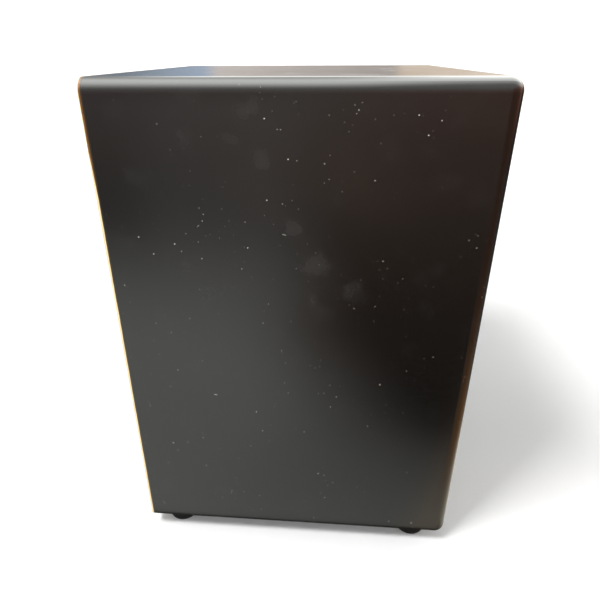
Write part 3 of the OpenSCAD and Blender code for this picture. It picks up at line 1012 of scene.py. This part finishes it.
def softbox():
    """One square soft light, high at the front on the right."""
    data = bpy.data.lights.new("softbox", "AREA")
    data.size = 0.60
    data.energy = 52
    obj = place_object("softbox", data)
    obj.location = (0.80, -0.95, 2.30)
    aim = Vector((0, 0, 0.2))
    obj.rotation_euler = (aim - obj.location).to_track_quat("-Z", "Y").to_euler()
    obj.visible_glossy = False


def studio():
    """A dim even light from all round."""
    world = bpy.data.worlds.new("studio")
    world.use_nodes = True
    background = world.node_tree.nodes["Background"]
    background.inputs["Color"].default_value = (0.93, 0.94, 0.95, 1)
    background.inputs["Strength"].default_value = 0.22
    bpy.context.scene.world = world
    bpy.context.scene.view_settings.view_transform = "Standard"


# ---------------------------------------------------------------- what the gloss reflects

def reflection_only(name, bm, build):
    """A glowing surface that only shows in reflections. build makes its colour and strength."""
    tree = Tree(name)
    tree.nodes.remove(tree.shader)
    glow = tree.add("ShaderNodeEmission")
    colour, strength = build(tree)
    tree.feed(glow.inputs["Color"], colour)
    tree.feed(glow.inputs["Strength"], strength)
    tree.feed(tree.nodes["Material Output"].inputs["Surface"], glow.outputs[0])
    mesh = mesh_from(bm, name)
    mesh.materials.append(tree.mat)
    obj = place_object(name, mesh)
    for way in ("camera", "diffuse", "transmission", "volume_scatter", "shadow"):
        setattr(obj, "visible_" + way, False)


def sky_strength(tree, x, y, over):
    """A bright window band overhead, a dimmer ceiling, a strip behind it and the walls. over is the
    angle up from the right-hand horizon, over the box and down to the left, in radians."""
    band_at = tree.plus(1.40, tree.times(tree.span(y, -0.02, 0.34, smooth=True), 0.45))
    band = tree.span(tree.gap(over, band_at), 0.0, 0.88, 1.0, 0.0, smooth=True)
    fade = tree.times(tree.span(y, -0.95, -0.15, 0.35, 1.0, smooth=True), tree.span(y, 0.05, 0.95, 1.0, 0.45))
    band = tree.times(band, 8.8, fade)
    behind = tree.times(tree.window(over, 1.95, 2.50, 2.50, 2.98), 3.2)
    behind = tree.times(behind, tree.span(y, -0.42, -0.24, 0.05, 1.0))
    walls = tree.span(x, -0.25, 0.25, 0.42, 0.72)
    ceiling = tree.times(tree.span(over, 0.05, 0.80, 0.0, 0.9), tree.span(over, 2.20, 2.75, 1.0, 0.0))
    return tree.plus(tree.plus(walls, ceiling), tree.plus(band, behind))


def sky_colour(tree, x, y, z):
    """Near white overhead; lower down, what stands round the room, warm or blue or dark by its bearing."""
    bearing = tree.math("ARCTAN2", y, x)
    right_wall = tree.ramp(tree.span(y, -0.45, 0.60), [
        (0.0, (0.84, 0.70, 0.69)), (0.40, (1.0, 0.88, 0.80)),
        (0.62, (1.0, 0.66, 0.58)), (1.0, (0.90, 0.42, 0.27)),
    ])
    left_wall = tree.ramp(tree.span(y, -0.55, 0.55), [
        (0.0, (0.48, 0.58, 0.68)), (0.265, (0.44, 0.58, 0.80)), (0.290, (0.84, 0.74, 0.68)),
        (0.63, (0.50, 0.42, 0.38)), (0.65, (0.94, 0.73, 0.55)), (1.0, (1.22, 1.02, 0.82)),
    ])
    low = tree.mix(tree.span(x, -0.15, 0.15), left_wall, right_wall)
    colour = tree.mix(tree.span(z, 0.22, 0.55, smooth=True), low, (0.98, 1.0, 0.97))
    brown = tree.times(tree.window(bearing, 0.42, 0.60, 1.75, 1.95), tree.span(z, 0.70, 0.35))
    colour = tree.mix(brown, colour, (0.62, 0.27, 0.18))
    dark = tree.times(tree.window(bearing, 1.30, 1.90, 2.25, 2.75, True), tree.span(z, 0.50, 0.25))
    return tree.mix(dark, colour, (0.07, 0.055, 0.045))


def sky_glow(tree):
    """The room as the gloss sees it, above the floor."""
    way = tree.add("ShaderNodeVectorMath", operation="NORMALIZE")
    tree.feed(way.inputs[0], tree.place)
    x, y, z = tree.axes(way.outputs[0])
    over = tree.math("ARCTAN2", z, x)
    return sky_colour(tree, x, y, z), sky_strength(tree, x, y, over)


def floor_glow(tree):
    """The floor as the gloss sees it: pale close by and at the front, dark and warm elsewhere, with the box's
    shadow painted in behind it and under it.
    """
    x, y, _ = tree.axes()
    out = tree.math("ABSOLUTE", x)
    bearing = tree.math("ARCTAN2", y, x)
    shade_at = tree.span(out, 0.27, 0.56, 0.085, -0.03)
    softness = tree.span(out, 0.19, 0.34, 0.30, 0.15)
    lit = tree.span(tree.math("DIVIDE", tree.minus(y, shade_at), softness), -1.0, 1.0, 1.0, 0.0, smooth=True)
    fall = tree.span(out, 0.50, 1.25, 1.0, 0.14, smooth=True)
    pale = tree.times(tree.span(out, 0.17, 0.45, 1.10, 1.55), fall)
    shaded = tree.plus(tree.span(out, 0.17, 0.31, 0.55, 0.03), tree.span(out, 0.36, 0.85, 0.0, 0.20))
    across = tree.span(tree.gap(y, -0.03), 0.12, 0.50, 1.0, 0.42, smooth=True)
    far = tree.times(tree.span(out, 0.7, 1.8, smooth=True), across)
    strength = tree.plus(tree.mix(lit, shaded, pale, "FLOAT"), tree.times(far, 0.50))
    warm = tree.math("MAXIMUM", tree.minus(0.75, lit, clamp=True), tree.times(far, 0.6))
    warm = tree.times(warm, tree.span(out, 0.25, 0.60))
    colour = tree.mix(warm, (1.0, 1.02, 0.98), (1.0, 0.58, 0.38))

    wood = tree.ramp(tree.reach(), [
        (0.24, (1.1, 1.0, 0.8)), (0.36, (0.80, 0.42, 0.18)), (0.80, (0.42, 0.19, 0.11)),
    ])
    brown = tree.window(bearing, 0.50, 0.66, 1.25, 1.75, True)
    # Painted shadow: the dark wedge behind the box on the right is its shadow on the reflected floor.
    dark = tree.window(bearing, 1.25, 1.75, 2.35, 2.85, True)
    colour = tree.mix(brown, colour, wood)
    strength = tree.mix(brown, strength, 0.90, "FLOAT")
    strength = tree.mix(dark, strength, 0.07, "FLOAT")
    # Painted shadow under the box's footprint.
    off_box = tree.math("MAXIMUM", out, tree.plus(tree.math("ABSOLUTE", y), HALF_W - BACK_Y))
    box_shadow_mask = tree.span(off_box, HALF_W, HALF_W + 22 * MM, 0.06, 1.0, smooth=True)
    return colour, tree.times(strength, box_shadow_mask)


def dome():
    """A half sphere round the object, which starts a little below the horizon."""
    radius = 3.0
    bm = bmesh.new()
    outline = arc(0, 0, radius, -4, 90, 24)[:-1] + [(0.0, radius)]
    lathe(bm, outline, Matrix.Identity(4), 64, closed=False)
    reflection_only("room_dome", bm, sky_glow)


def floor_reflection():
    """A flat disc just above the floor."""
    radius, lift = 3.0, 0.4 * MM
    bm = bmesh.new()
    lathe(bm, [(0.0, lift), (radius, lift)], Matrix.Identity(4), 64, closed=False)
    reflection_only("floor_reflection", bm, floor_glow)


sweep()
dome()
floor_reflection()
softbox()
studio()


# ---------------------------------------------------------------- camera

def camera():
    """The right side seen from just above the top, a little towards the back."""
    data = bpy.data.cameras.new("camera")
    data.sensor_width = 36.0
    data.lens = 28.81
    data.shift_x = 0.0174
    data.shift_y = -0.0404
    data.clip_start = 0.02
    data.clip_end = 50
    obj = place_object("camera", data)
    heading, down, roll = math.radians(94.43), math.radians(24.9), math.radians(-0.32)
    turn = Matrix.Rotation(heading, 4, "Z") @ Matrix.Rotation(math.pi / 2 - down, 4, "X")
    out, back, up = 0.3394, 0.0216, 0.0141
    eye = Vector((HALF_W + out, (FRONT_Y + BACK_Y) / 2 + back, TOP_Z + up))
    obj.matrix_world = Matrix.Translation(eye) @ turn @ Matrix.Rotation(roll, 4, "Z")
    bpy.context.scene.camera = obj


camera()
